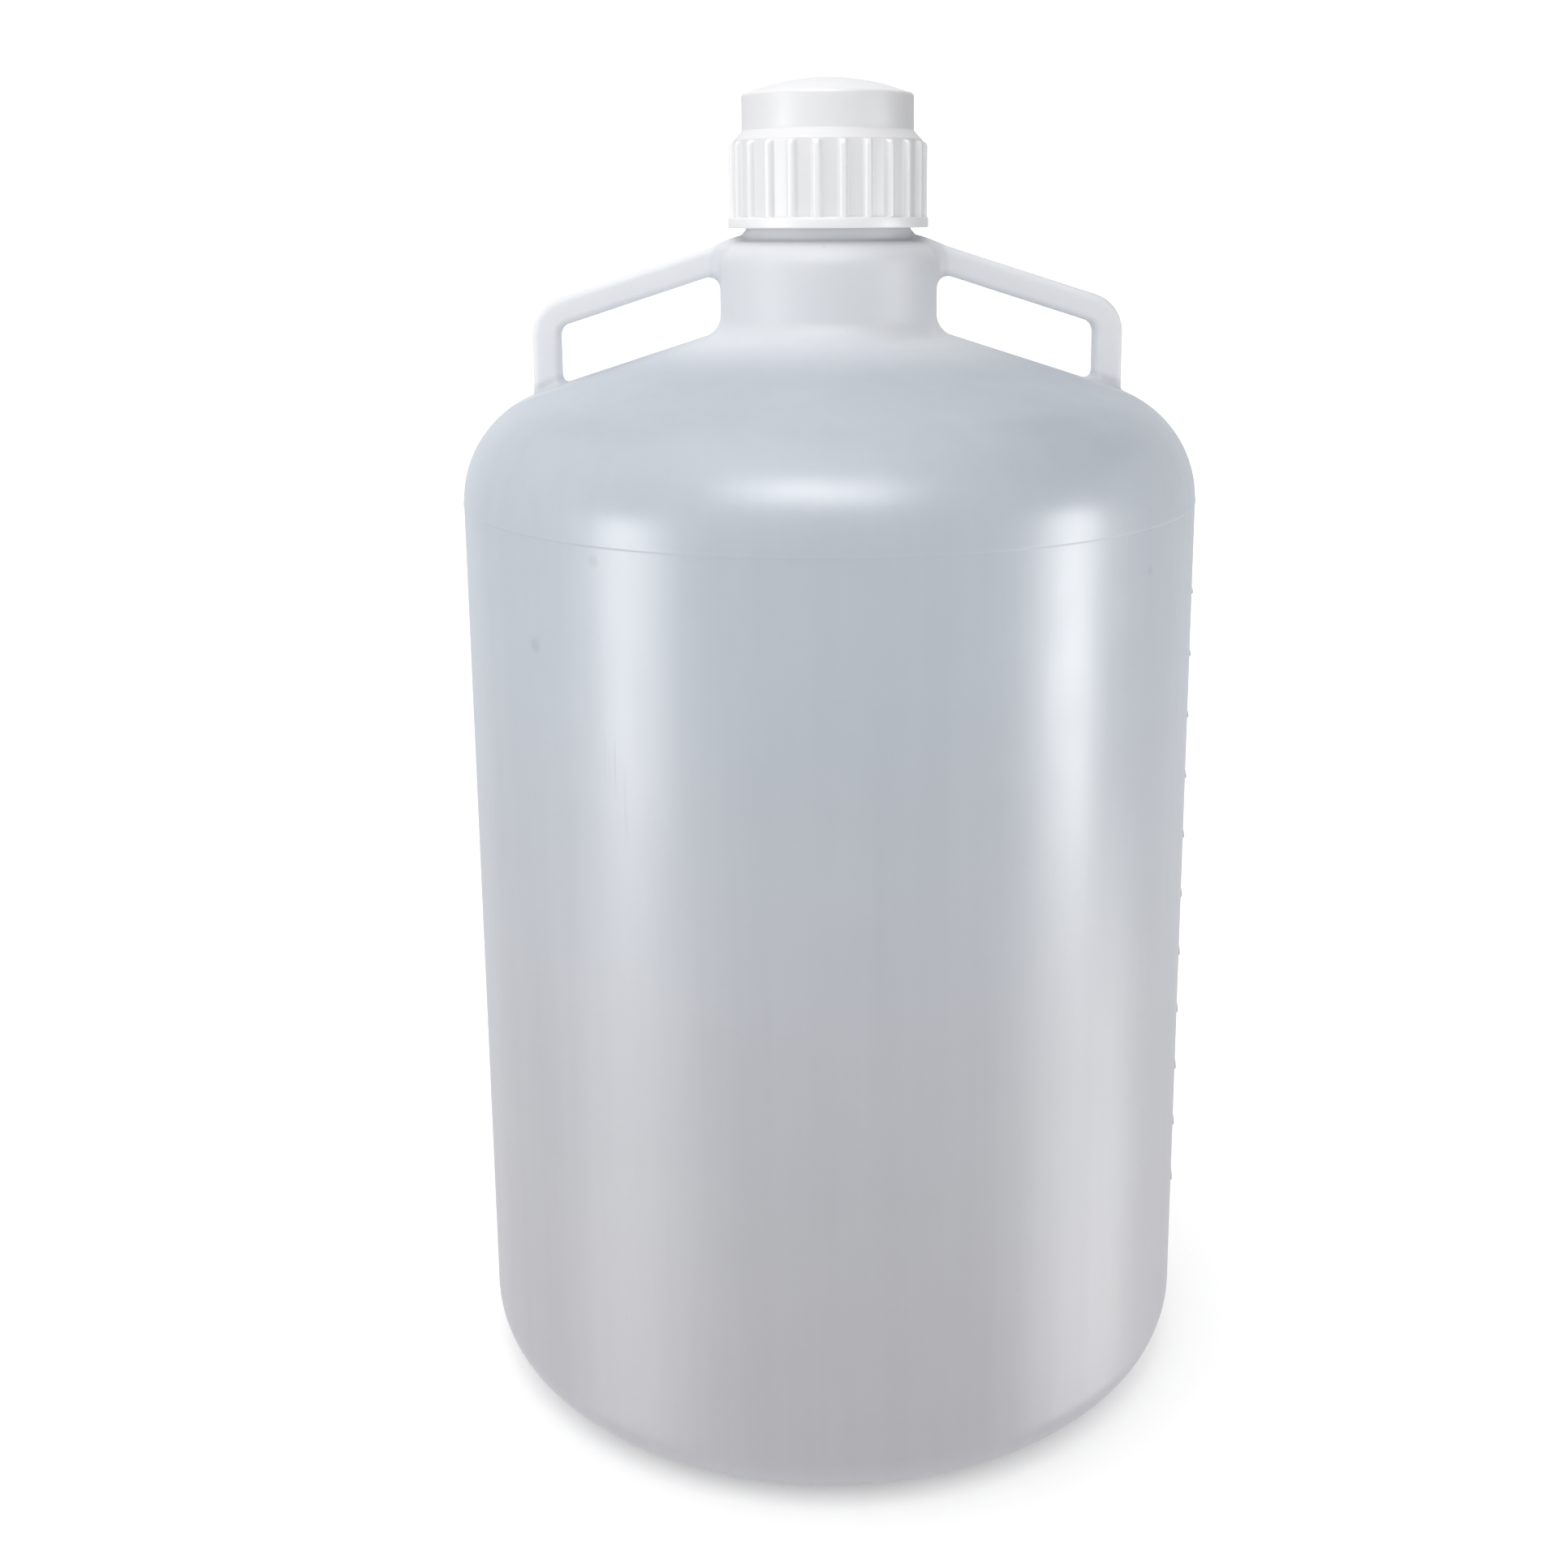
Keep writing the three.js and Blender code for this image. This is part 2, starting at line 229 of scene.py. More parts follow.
def make_piece(name, parts, material, sharp=None, thick=None):
    """One mesh object from (points, faces) parts in millimetres. Points that coincide are joined,
    and faces that lose their area there are dropped."""
    points = np.concatenate([p for p, _ in parts]) * MM
    faces, start = [], 0
    for p, f in parts:
        faces += [[i + start for i in face] for face in (f if isinstance(f, list) else f.tolist())]
        start += len(p)
    mesh = bpy.data.meshes.new(name)
    mesh.from_pydata(points.tolist(), [], faces)
    if thick is not None:
        mesh.attributes.new("thick", "FLOAT", "POINT").data.foreach_set(
            "value", np.concatenate(thick).astype(np.float32))
    work = bmesh.new()
    work.from_mesh(mesh)
    bmesh.ops.remove_doubles(work, verts=work.verts, dist=2e-6)
    bmesh.ops.dissolve_degenerate(work, edges=work.edges, dist=1e-7)
    loose = [v for v in work.verts if not v.link_faces]
    bmesh.ops.delete(work, geom=loose, context="VERTS")
    bmesh.ops.recalc_face_normals(work, faces=work.faces)
    opened = sum(1 for e in work.edges if len(e.link_faces) != 2)
    if opened:
        print(name, "has", opened, "open edges")
    work.to_mesh(mesh)
    work.free()
    mesh.polygons.foreach_set("use_smooth", np.ones(len(mesh.polygons), bool))
    if sharp:
        mesh.set_sharp_from_angle(angle=math.radians(sharp))
    mesh.materials.append(material)
    piece = bpy.data.objects.new(name, mesh)
    bpy.context.scene.collection.objects.link(piece)
    return piece


def thread_ridge(radius, outwards, start, turns, angle):
    """A closed ridge with a trapezium section carried up a helix: at turn t its middle stands at
    height start + lead * t and angle + 2 pi t, and it sinks into the wall at both ends."""
    steps = int(turns * THREAD_COLUMNS)
    t = np.linspace(0, turns, steps + 1)
    rise = smooth(np.minimum(t, turns - t), 0, THREAD_FADE)
    flank = np.array([THREAD_ROOT, THREAD_CREST + THREAD_SOFT_OUT, THREAD_CREST - THREAD_SOFT_IN])
    half = np.concatenate([-flank, flank[::-1]])
    climb = np.array([0, THREAD_DEPTH - THREAD_SOFT_DOWN, THREAD_DEPTH])
    tall = np.concatenate([climb, climb[::-1]])
    reach = radius + outwards * (tall[None] * rise[:, None] - THREAD_SUNK)
    a = angle + TAU * t[:, None]
    height = start + THREAD_LEAD * t[:, None] + half[None] * (0.3 + 0.7 * rise[:, None])
    points = np.stack([reach * np.cos(a), reach * np.sin(a), height], -1).reshape(-1, 3)
    n = len(half)
    faces = grid_quads(steps + 1, n, True).tolist()
    return points, faces + [list(range(n))[::-1], [steps * n + k for k in range(n)]]


# ------------------------------------------------------------------ the handles' joints

def gap_to_line(line, x, z):
    """Signed distance from points (x, z) to a smooth line, positive on its right-hand side."""
    a, d = line[:-1], np.diff(line, axis=0)
    length = (d ** 2).sum(1)
    out = []
    for px, pz in zip(np.array_split(np.ravel(x), 40), np.array_split(np.ravel(z), 40)):
        qx, qz = px[:, None] - a[:, 0], pz[:, None] - a[:, 1]
        t = np.clip((qx * d[:, 0] + qz * d[:, 1]) / length, 0, 1)
        away = (qx - t * d[:, 0]) ** 2 + (qz - t * d[:, 1]) ** 2
        i = away.argmin(1)
        n = np.arange(len(i))
        side = np.sign(qx[n, i] * d[i, 1] - qz[n, i] * d[i, 0])
        out.append(np.sqrt(away[n, i]) * side)
    return np.concatenate(out).reshape(np.shape(x))


def handle_line():
    """The bar's middle line: from inside the neck down the slope, round the bend and down the leg."""
    leg = LEG_OUTER - HANDLE_HALF
    slope = math.tan(HANDLE_SLOPE)
    at_100 = HANDLE_TOP_AT_100 - HANDLE_HALF / math.cos(HANDLE_SLOPE)
    turn = math.pi / 2 - HANDLE_SLOPE
    back = HANDLE_BEND * math.tan(turn / 2)
    corner = np.array([leg, at_100 - (leg - 100) * slope])
    first = corner + back * np.array([-math.cos(HANDLE_SLOPE), math.sin(HANDLE_SLOPE)])
    centre = corner + np.array([-HANDLE_BEND, -back])
    inner = np.array([HANDLE_END, at_100 + (100 - HANDLE_END) * slope])
    return np.concatenate([
        run(inner, first, 4),
        arc(centre, HANDLE_BEND, 90 - math.degrees(HANDLE_SLOPE), 0, 14),
        run((leg, corner[1] - back), (leg, WALL_TOP + 30), 2), [[leg, WALL_TOP + 30]],
    ])


MIDDLE = handle_line()


def handle_gap(p):
    """Distance to the bar alone: a rectangle with rounded edges, half its thickness across the
    middle line and half its depth along Y."""
    across = np.abs(gap_to_line(MIDDLE, p[..., 0], p[..., 2]))
    u = across - (HANDLE_HALF - HANDLE_EDGE)
    v = np.abs(p[..., 1]) - (HANDLE_HALF_DEPTH - HANDLE_EDGE)
    outside = np.hypot(np.maximum(u, 0), np.maximum(v, 0))
    return np.minimum(np.maximum(u, v), 0) + outside - HANDLE_EDGE


def body_gap(p):
    """Distance to the bottle's upper outline."""
    return gap_to_line(UPPER, np.hypot(p[..., 0], p[..., 1]), p[..., 2])


def joined_gap(p):
    """Bottle and bar as one solid with a rolling-ball fillet between them. The fillet is small
    outside the bar's foot, larger inside it and at the neck, and runs out up the collar."""
    r = np.hypot(p[..., 0], p[..., 1])
    k = FOOT_INSIDE + (FOOT_OUTSIDE - FOOT_INSIDE) * smooth(r, LEG_OUTER - 13, LEG_OUTER - 1)
    k = k + (ROOT_FILLET - k) * smooth(-r, -110, -75)
    k = k + (COLLAR_FILLET - k) * smooth(p[..., 2], NECK_TOP - 4, NECK_TOP + 3)
    k = LEAST_FILLET + (k - LEAST_FILLET) * smooth(-p[..., 2], 1.5 - COLLAR_TOP, 3.5 - COLLAR_TOP)
    a, b = handle_gap(p), body_gap(p)
    both = np.hypot(np.maximum(k - a, 0), np.maximum(k - b, 0))
    return np.maximum(k, np.minimum(a, b)) - both


def net(values, corner, step):
    """The zero level of a grid of values: one point in each cell that it crosses, at the mean of
    the crossings on the cell's edges, and one quad round each grid edge that it crosses."""
    shape = np.array(values.shape) - 1
    total, count = np.zeros((*shape, 3)), np.zeros(shape)
    quads = []
    for axis in range(3):
        u, v = (axis + 1) % 3, (axis + 2) % 3
        low, high = [slice(None)] * 3, [slice(None)] * 3
        low[axis], high[axis] = slice(None, -1), slice(1, None)
        first, second = values[tuple(low)], values[tuple(high)]
        edge = np.argwhere((first < 0) != (second < 0))
        for across in (u, v):
            edge = edge[(edge[:, across] > 0) & (edge[:, across] < shape[across])]
        f, s = first[tuple(edge.T)], second[tuple(edge.T)]
        where = edge.astype(float)
        where[:, axis] += f / (f - s)
        cells = []
        for du, dv in ((0, 0), (-1, 0), (-1, -1), (0, -1)):
            cell = edge.copy()
            cell[:, u] += du
            cell[:, v] += dv
            np.add.at(total, tuple(cell.T), where)
            np.add.at(count, tuple(cell.T), 1)
            cells.append(np.ravel_multi_index(tuple(cell.T), tuple(shape)))
        ring = np.stack(cells, -1)
        quads.append(np.where((f < 0)[:, None], ring, ring[:, ::-1]))
    used = np.flatnonzero(count.ravel())
    number = np.full(count.size, -1)
    number[used] = np.arange(len(used))
    points = total.reshape(-1, 3)[used] / count.ravel()[used][:, None]
    return points * step + corner, number[np.concatenate(quads)]


def settle(points, gap, rounds=5):
    """Moves points along the gap's slope until they stand on its zero level."""
    reach = 0.01
    for _ in range(rounds):
        value = gap(points)
        slope = np.stack([(gap(points + h) - gap(points - h)) / (2 * reach)
                          for h in np.eye(3) * reach], -1)
        points = points - (value / np.maximum((slope ** 2).sum(-1), 0.2))[..., None] * slope
    return points


def relax(points, quads, held, gap, rounds):
    """Moves free points towards the mean of their neighbours, and back onto the zero level."""
    ends = np.concatenate([quads[:, [k, (k + 1) % 4]] for k in range(4)])
    for _ in range(rounds):
        total, count = np.zeros_like(points), np.zeros(len(points))
        for a, b in ((0, 1), (1, 0)):
            np.add.at(total, ends[:, a], points[ends[:, b]])
            np.add.at(count, ends[:, a], 1)
        mean = total / np.maximum(count, 1)[:, None]
        points = np.where(held[:, None], points, points * 0.4 + mean * 0.6)
        points = settle(points, gap, 1)
    return settle(points, gap, 3)


def handle_patch():
    """The skin of the +X handle with its fillets, cut off where only the bottle's own outline is
    left. Returns points, quads and the edges of its border."""
    corner = np.array([PATCH_NEAR, -PATCH_HALF_WIDTH, PATCH_LOW])
    far = np.array([LEG_OUTER + 16, PATCH_HALF_WIDTH, COLLAR_TOP + 1])
    axes = [np.arange(a, b + PATCH_STEP, PATCH_STEP) for a, b in zip(corner, far)]
    p = np.stack(np.meshgrid(*axes, indexing="ij"), -1)
    points, quads = net(joined_gap(p), corner, PATCH_STEP)
    points = settle(points, joined_gap)
    off = body_gap(points) > 0.004
    for _ in range(2):                       # two rings of quads beyond the fillets
        near = off[quads].any(1)
        off = off.copy()
        off[quads[near]] = True
    off &= points[:, 2] < COLLAR_TOP - 0.8
    kept = quads[off[quads].all(1)]
    used, kept = np.unique(kept, return_inverse=True)
    points, kept = points[used], kept.reshape(-1, 4)
    ends = np.sort(np.concatenate([kept[:, [k, (k + 1) % 4]] for k in range(4)]), 1)
    edges, times = np.unique(ends, axis=0, return_counts=True)
    border = edges[times == 1]
    held = np.zeros(len(points), bool)
    held[border] = True
    return relax(points, kept, held, joined_gap, 8), kept, border


def unrolled(points, line, ruler):
    """Angle round the axis, and the outline's length measured in radii, of points on the skin:
    an even-handed map in which a small circle stays a circle."""
    r, z = np.hypot(points[:, 0], points[:, 1]), points[:, 2]
    a, d = line[:-1], np.diff(line, axis=0)
    qx, qz = r[:, None] - a[:, 0], z[:, None] - a[:, 1]
    t = np.clip((qx * d[:, 0] + qz * d[:, 1]) / (d ** 2).sum(1), 0, 1)
    i = ((qx - t * d[:, 0]) ** 2 + (qz - t * d[:, 1]) ** 2).argmin(1)
    n = np.arange(len(i))
    along = ruler[i] + t[n, i] * (ruler[i + 1] - ruler[i])
    return np.stack([np.arctan2(points[:, 1], points[:, 0]), along], -1)


def stitch(window, patch, border):
    """Fills the skin between the window's grid of points and the patch's border with triangles."""
    middle = (UPPER[:-1, 0] + UPPER[1:, 0]) / 2
    ruler = np.concatenate([[0], np.cumsum(np.hypot(*np.diff(UPPER, axis=0).T) / middle)])
    rows, columns = window.shape[:2]
    grid = window.reshape(-1, 3)
    number = np.arange(rows * columns).reshape(rows, columns)
    ring = np.concatenate([number[0, :-1], number[:-1, -1], number[-1, :0:-1], number[:0:-1, 0]])
    low = patch[body_gap(patch) < 2.5]
    nearest = np.concatenate([np.sqrt(((g[:, None] - low[None]) ** 2).sum(-1)).min(1)
                              for g in np.array_split(grid, 12)])
    keep = nearest > 1.5
    keep[ring] = True
    rim = np.unique(border)
    points = np.concatenate([grid[keep], patch[rim]])
    place = np.full(len(grid), -1)
    place[keep] = np.arange(keep.sum())
    turn = np.full(rim.max() + 1, -1)
    turn[rim] = np.arange(len(rim)) + keep.sum()
    flat = unrolled(points, UPPER, ruler)
    outer = place[ring]
    lines = np.concatenate([np.stack([outer, np.roll(outer, -1)], -1), turn[border]])
    _, _, faces, origin, _, _ = delaunay_2d_cdt(
        [Vector(q) for q in flat], [tuple(map(int, e)) for e in lines], [], 1, 1e-7)
    first = np.array([o[0] if o else -1 for o in origin])
    faces = first[np.array(faces)]
    faces = faces[(faces >= 0).all(1)]
    # only triangles that can be reached from the window's edge without crossing the border stay
    ends = np.sort(np.concatenate([faces[:, [k, (k + 1) % 3]] for k in range(3)]), 1)
    owner = np.tile(np.arange(len(faces)), 3)
    key = ends[:, 0] * len(points) + ends[:, 1]
    order = np.argsort(key, kind="stable")
    pair = key[order][:-1] == key[order][1:]
    left, right = owner[order][:-1][pair], owner[order][1:][pair]
    wall = np.sort(turn[border], 1)
    open_edge = ~np.isin(key[order][:-1][pair], wall[:, 0] * len(points) + wall[:, 1])
    left, right = left[open_edge], right[open_edge]
    reached = np.isin(faces, outer).any(1)
    for _ in range(len(faces)):
        before = reached.sum()
        np.logical_or.at(reached, right, reached[left])
        np.logical_or.at(reached, left, reached[right])
        if reached.sum() == before:
            break
    return points, faces[reached]


# ------------------------------------------------------------------ the bottle

def bottle(material):
    """The moulding in one skin: outside, mouth, bore and inside, with both handles grown out of it."""
    angles = np.arange(COLUMNS) * TAU / COLUMNS
    base = np.concatenate([
        run((0, PUSH_UP), (PUSH_FLAT, PUSH_UP), 8), swell((PUSH_FLAT, PUSH_UP), (PUSH_FOOT, 0), 9),
        run((PUSH_FOOT, 0), (BODY_RADIUS - BASE_CORNER, 0), 5)])
    below = np.concatenate([base, OUTER.corner, OUTER.wall, OUTER.ring])
    upper = np.concatenate([OUTER.shoulder, OUTER.cone, OUTER.hollow, OUTER.neck, OUTER.round,
                            OUTER.top])
    rows = np.concatenate([below, upper, collar(3)])
    first, last = len(below) + WINDOW_START, len(rows) - 1      # rows of the handles' windows
    mouth = np.concatenate([
        rounded([rows[-1], (COLLAR, COLLAR_TOP + 1.0), (MOUTH, COLLAR_TOP + 2.0),
                 (MOUTH, COLLAR_TOP + 4.0)], [0.6, 0.6])[:-1],
        run((MOUTH, COLLAR_TOP + 4.0), (MOUTH, LIP_TOP - LIP_EDGE), 12),
        arc((MOUTH - LIP_EDGE, LIP_TOP - LIP_EDGE), LIP_EDGE, 0, 90, 5),
        arc((BORE + LIP_EDGE, LIP_TOP - LIP_EDGE), LIP_EDGE, 90, 180, 5),
    ])
    inner = Side(-WALL)
    inside = np.concatenate([
        [[0, PUSH_UP + WALL]], run((20, PUSH_UP + WALL), (PUSH_FLAT, PUSH_UP + WALL), 4),
        swell((PUSH_FLAT, PUSH_UP + WALL), (PUSH_FOOT + 4, WALL), 9),
        run((PUSH_FOOT + 4, WALL), (BODY_RADIUS - BASE_CORNER, WALL), 3),
        inner.corner, inner.wall[::2], inner.shoulder, inner.cone[::2], inner.hollow, inner.neck,
        inner.round, inner.top, run((BORE + 1.5, NECK_TOP - WALL), (BORE, NECK_TOP - WALL + 1.5), 1),
        run((BORE, NECK_TOP - WALL + 1.5), (BORE, LIP_TOP - LIP_EDGE), 6),
        [[BORE, LIP_TOP - LIP_EDGE]],
    ])

    # the mould's ring line stands a little proud
    skin = sweep_round(rows, angles)[0].reshape(len(rows), COLUMNS, 3)
    height = skin[..., 2]
    radius = np.hypot(skin[..., 0], skin[..., 1])
    ring_line = np.exp(-((height - WALL_TOP) / PARTING_HALF) ** 2) * (radius > BODY_RADIUS - 1)
    proud = PARTING_HEIGHT * ring_line
    skin[..., :2] *= (1 + proud / np.maximum(radius, 1))[..., None]

    cells = np.ones((len(rows) - 1, COLUMNS), bool)
    near = np.r_[np.arange(WINDOW), np.arange(COLUMNS - WINDOW, COLUMNS)]
    cells[first:last][:, near] = False
    cells[first:last][:, (near + COLUMNS // 2) % COLUMNS] = False
    parts = [(skin.reshape(-1, 3), grid_quads(len(rows), COLUMNS, True, cells))]

    # the +X handle with the skin round it, and both again turned over for the -X one
    columns = np.arange(-WINDOW, WINDOW + 1) % COLUMNS
    window = skin[first:last + 1][:, columns]
    patch, quads, border = handle_patch()
    filled, triangles = stitch(window, patch, border)
    flip = np.array([-1, 1, 1])
    parts += [(patch, quads), (filled, triangles), (patch * flip, quads[:, ::-1]),
              (filled * flip, triangles[:, ::-1])]

    parts.append(sweep_round(np.concatenate([mouth, [[BORE, LIP_TOP - LIP_EDGE]]]), angles))
    points, faces = sweep_round(inside, angles)
    parts.append((points, faces[:, ::-1]))
    parts.append(thread_ridge(MOUTH, 1, MOUTH_THREAD_START, MOUTH_THREAD_TURNS, 0.0))
    parts += [volume_mark(z) for z in np.arange(MARK_FIRST, MARK_LAST, MARK_STEP)]
    return make_piece("bottle", parts, material, sharp=40, thick=[thickness(p) for p, _ in parts])


def volume_mark(z):
    """A raised bar on the wall: its face stands proud by a cushion of two parameters across and up
    it, and its border sinks into the wall."""
    flat_u, flat_v = 0.8, 0.3                   # the share of the bar that is flat each way
    u, v = np.meshgrid(np.linspace(-1, 1, 13), np.linspace(-1, 1, 7))
    swell_u = 1 - np.maximum(np.abs(u) - flat_u, 0) / (1 - flat_u)
    swell_v = 1 - np.maximum(np.abs(v) - flat_v, 0) / (1 - flat_v)
    rise = smooth(np.minimum(swell_u, swell_v), 0, 1)
    radius = BODY_RADIUS - MARK_SUNK + (MARK_HEIGHT + MARK_SUNK) * rise
    a = MARK_ANGLE + u * MARK_WIDTH / 2 / BODY_RADIUS
    points = np.stack([radius * np.cos(a), radius * np.sin(a), z + v * MARK_TALL / 2], -1)
    number = np.arange(u.size).reshape(u.shape)
    ring = np.concatenate([number[0, :-1], number[:-1, -1], number[-1, :0:-1], number[:0:-1, 0]])
    return points.reshape(-1, 3), grid_quads(*u.shape, False).tolist() + [ring[::-1].tolist()]


def thickness(p):
    """How much plastic the light meets: 0 in the thin wall, 1 in the solid bars, mouth and lip,
    and in between up the neck, low on the wall and where a bar's leg stands. Up the neck it is
    also partly painted light: the neck is whitened for its thicker plastic and for the light on it."""
    r = np.hypot(p[:, 0], p[:, 1])
    # up the neck: partly thicker plastic, partly painted light where the neck is lit
    neck = smooth(-r, -110, -52) * smooth(p[:, 2], 470, 560)
    bar = smooth(body_gap(p), 0.5, 7) * (p[:, 2] > WALL_TOP)
    mouth = smooth(p[:, 2], NECK_TOP - 2, NECK_TOP + 3)
    foot = smooth(-p[:, 2], -30, -4)
    from_leg = np.hypot(np.abs(p[:, 0]) - LEG_OUTER + HANDLE_HALF, p[:, 1])
    leg_foot = smooth(-from_leg, -26, -7) * (p[:, 2] > WALL_TOP)
    return np.clip(np.maximum.reduce([0.75 * neck, bar, mouth, 0.25 * foot, 0.5 * leg_foot]), 0, 1)


# ------------------------------------------------------------------ closure and gasket

def dome(top, radius, edge, steps):
    """A ball's cap from its edge at radius edge up to its top on the axis."""
    r = edge * (1 - np.arange(steps + 1) / steps)
    return np.stack([r, top - radius + np.sqrt(radius ** 2 - r ** 2)], -1)


def closure(material):
    """The screw closure: low dome, plain upper tier, chamfer, ribbed skirt and flange outside;
    bore, thread, seat and hollow top inside. On the skirt the radius grows by each rib's section,
    a flat-topped bell across its width, times a quarter-round at its upper end."""
    edge = TIER - TIER_EDGE
    ball = (edge ** 2 + DOME_RISE ** 2) / (2 * DOME_RISE)
    seat, land = GASKET_HIGH + SEAT_GAP, GASKET_INNER - SEAT_LAND
    low, flange_top = CLOSURE_BASE, CLOSURE_BASE + FLANGE_HEIGHT
    widen, lead_in = SKIRT_LEAD_IN
    hollow = land - SEAT_CHAMFER - 1
    ceiling = dome(CLOSURE_TOP - CLOSURE_WALL, ball - CLOSURE_WALL, hollow, 8)
    inside = np.concatenate([
        ceiling[::-1],
        rounded([ceiling[0], (land - SEAT_CHAMFER, seat + SEAT_CHAMFER),
                 (land, seat), (TIER_BORE, seat), (TIER_BORE, TIER_BASE - 1),
                 (SKIRT_BORE, SKIRT_TOP), (SKIRT_BORE, low + lead_in), (SKIRT_BORE + widen, low),
                 (FLANGE_RADIUS, low)],
                [0.4, 0.4, 0.5, 1.0, 1.0, 0.8, 0.3])[1:-1],
    ])
    rib_top = SKIRT_TOP - RIB_TOP_GAP
    quarter = np.linspace(0, math.pi / 2, 9)
    skirt = np.concatenate([
        run((SKIRT, flange_top + 0.5), (SKIRT, rib_top - RIB_END), 4),
        np.stack([np.full(len(quarter), SKIRT), rib_top - RIB_END * np.cos(quarter)], -1),
    ])
    outside = np.concatenate([
        rounded([(SKIRT_BORE + widen + 0.2, low), (FLANGE_RADIUS, low), (FLANGE_RADIUS, flange_top),
                 (SKIRT, flange_top), skirt[0] + (0, 0.3)], [0.7, 0.7, 0.4]),
        skirt[1:],
        rounded([(SKIRT, rib_top), (SKIRT, SKIRT_TOP), (TIER, TIER_BASE), (TIER, TIER_BASE + 4)],
                [0.5, 0.6])[1:-1],
        run((TIER, TIER_BASE + 2), (TIER, CLOSURE_TOP - DOME_RISE - TIER_EDGE), 4),
        arc((edge, CLOSURE_TOP - DOME_RISE - TIER_EDGE + 0.2), TIER_EDGE, 0, 64, 7),
        dome(CLOSURE_TOP, ball, edge - 0.6, 12),
    ])
    # degrees from a rib's middle, close together where its section turns
    half_rib = np.array([0.5, 1, 1.4, 1.8, 2.2, 2.6, 3, 3.6, 4.6, 6])
    pitch = np.concatenate([[-180 / RIBS], -half_rib[::-1], [0], half_rib])
    angles = (RIB_PHASE + np.radians(pitch)[None] + np.arange(RIBS)[:, None] * TAU / RIBS).ravel()
    across = np.tile(np.radians(pitch) * SKIRT / RIB_HALF, RIBS)
    section = 1 - smooth(np.abs(across), 0.3, 1.08)
    points, faces = sweep_round(np.concatenate([inside, outside]), angles)
    points = points.reshape(-1, len(angles), 3)
    radius, height = np.hypot(points[..., 0], points[..., 1]), points[..., 2]
    over = np.clip((height - (rib_top - RIB_END)) / RIB_END, 0, 1)
    on_outside = np.arange(len(points)) >= len(inside)
    on_skirt = on_outside[:, None] & (np.abs(radius - SKIRT) < 0.45)
    grown = RIB_HEIGHT * section * np.sqrt(1 - over ** 2) * on_skirt
    points[..., :2] *= (1 + grown / np.maximum(radius, 1))[..., None]
    # turned half a lead away from the mouth's ridge
    turned = (CLOSURE_THREAD_START - MOUTH_THREAD_START) / THREAD_LEAD - 0.5
    thread = thread_ridge(SKIRT_BORE, -1, CLOSURE_THREAD_START, CLOSURE_THREAD_TURNS, turned * TAU)
    return make_piece("closure", [(points.reshape(-1, 3), faces), thread], material, sharp=38)


def gasket(material):
    """The sealing ring: a flat section with soft corners and two shallow beads on each face."""
    middle, half = (GASKET_INNER + GASKET_OUTER) / 2, (GASKET_OUTER - GASKET_INNER) / 2
    low, high, edge = GASKET_LOW, GASKET_HIGH, GASKET_EDGE
    r = np.linspace(GASKET_INNER + edge, GASKET_OUTER - edge, 25)
    bead = BEAD_DEPTH * (np.cos((r - middle) / half * BEAD_WAVES * TAU) - 1)
    loop = np.concatenate([
        np.stack([r, low - bead], -1), arc((r[-1], low + edge), edge, -90, 0, 4),
        arc((r[-1], high - edge), edge, 0, 90, 4), np.stack([r, high + bead], -1)[::-1],
        arc((r[0], high - edge), edge, 90, 180, 4), arc((r[0], low + edge), edge, 180, 270, 5)])
    loop = np.concatenate([loop, loop[:1]])
    angles = np.arange(GASKET_COLUMNS) * TAU / GASKET_COLUMNS
    return make_piece("gasket", [sweep_round(loop, angles)], material, sharp=50)


# ------------------------------------------------------------------ materials

class Tone:
    """A number that changes over a surface. Sums and products of it add Math nodes."""

    def __init__(self, paint, socket):
        self.paint, self.socket = paint, socket

    def math(self, kind, other, turned=False):
        pair = {0: other, 1: self} if turned else {0: self, 1: other}
        return self.paint.tone("ShaderNodeMath", {"operation": kind}, pair)

    def __add__(self, other):
        return self.math("ADD", other)

    def __sub__(self, other):
        return self.math("SUBTRACT", other)

    def __rsub__(self, other):
        return self.math("SUBTRACT", other, True)

    def __mul__(self, other):
        return self.math("MULTIPLY", other)

    __radd__, __rmul__ = __add__, __mul__

    def ease(self, low, high):
        """0 at low, 1 at high, smooth between."""
        return self.paint.tone("ShaderNodeMapRange", {"interpolation_type": "SMOOTHSTEP"},
                               {"Value": self, "From Min": low, "From Max": high})


